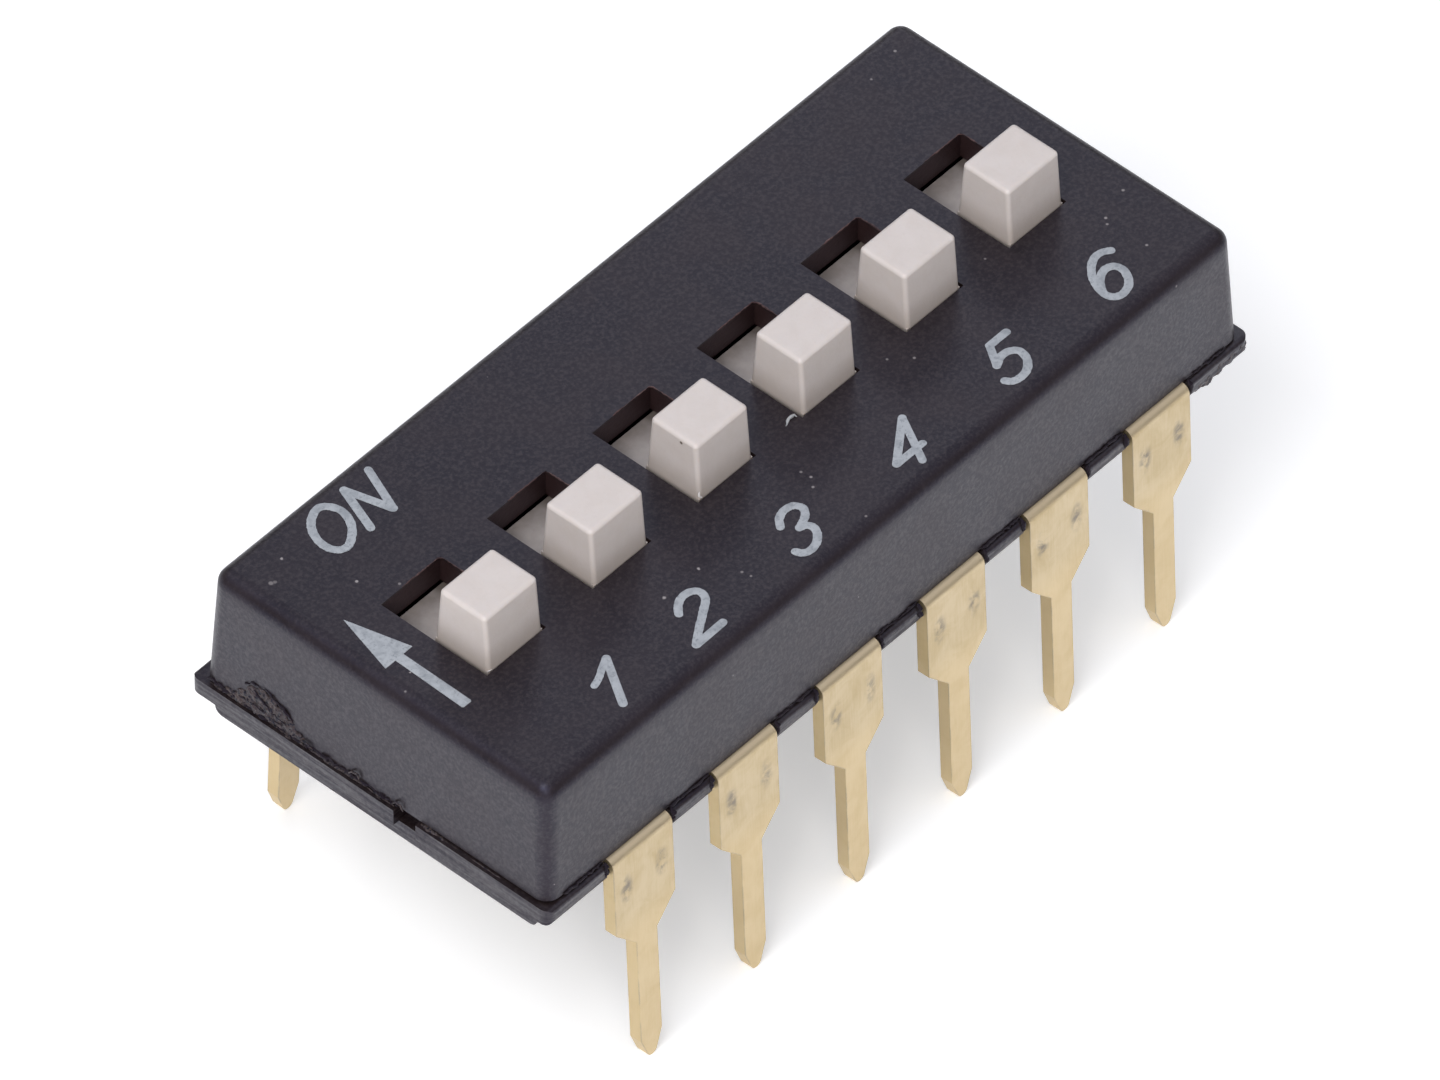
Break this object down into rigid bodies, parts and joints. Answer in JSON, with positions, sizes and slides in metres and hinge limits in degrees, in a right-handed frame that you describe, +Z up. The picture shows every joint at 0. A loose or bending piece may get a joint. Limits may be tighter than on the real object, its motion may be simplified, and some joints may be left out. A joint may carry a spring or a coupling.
{
  "type": "dip switch",
  "caption": "Slide DIP switch for through-hole boards, with raised square actuators in a row of slots and two rows of flat shouldered terminals.",
  "frame": {"origin": "middle of the two rows of terminals, in the seating plane where the terminals' tapered shoulders end", "axes": "+X along the row from switch 1 to switch 6, +Y towards the ON side, +Z up, away from the board"},
  "size_m": [0.0173, 0.0082, 0.0087],
  "materials": {
    "cover": "fine matte mould texture",
    "base": "matte moulded",
    "actuator": "smooth satin moulded",
    "contact": "spring bronze, bright rolled",
    "terminal": "thin gold plating, satin"
  },
  "bodies": {
    "housing": {"cover": "cover", "base": "base", "terminal_1": "terminal", "terminal_2": "terminal", "terminal_3": "terminal", "terminal_4": "terminal", "terminal_5": "terminal", "terminal_6": "terminal", "terminal_7": "terminal", "terminal_8": "terminal", "terminal_9": "terminal", "terminal_10": "terminal", "terminal_11": "terminal", "terminal_12": "terminal"},
    "switch_1": {"actuator_1": "actuator", "contact_1": "contact"},
    "switch_2": {"actuator_2": "actuator", "contact_2": "contact"},
    "switch_3": {"actuator_3": "actuator", "contact_3": "contact"},
    "switch_4": {"actuator_4": "actuator", "contact_4": "contact"},
    "switch_5": {"actuator_5": "actuator", "contact_5": "contact"},
    "switch_6": {"actuator_6": "actuator", "contact_6": "contact"}
  },
  "joints": [
    {"name": "slide_1", "type": "slide", "parent": "housing", "child": "switch_1", "axis": [0, 1, 0], "range_m": [0, 0.0011]},
    {"name": "slide_2", "type": "slide", "parent": "housing", "child": "switch_2", "axis": [0, 1, 0], "range_m": [0, 0.0011]},
    {"name": "slide_3", "type": "slide", "parent": "housing", "child": "switch_3", "axis": [0, 1, 0], "range_m": [0, 0.0011]},
    {"name": "slide_4", "type": "slide", "parent": "housing", "child": "switch_4", "axis": [0, 1, 0], "range_m": [0, 0.0011]},
    {"name": "slide_5", "type": "slide", "parent": "housing", "child": "switch_5", "axis": [0, 1, 0], "range_m": [0, 0.0011]},
    {"name": "slide_6", "type": "slide", "parent": "housing", "child": "switch_6", "axis": [0, 1, 0], "range_m": [0, 0.0011]}
  ]
}
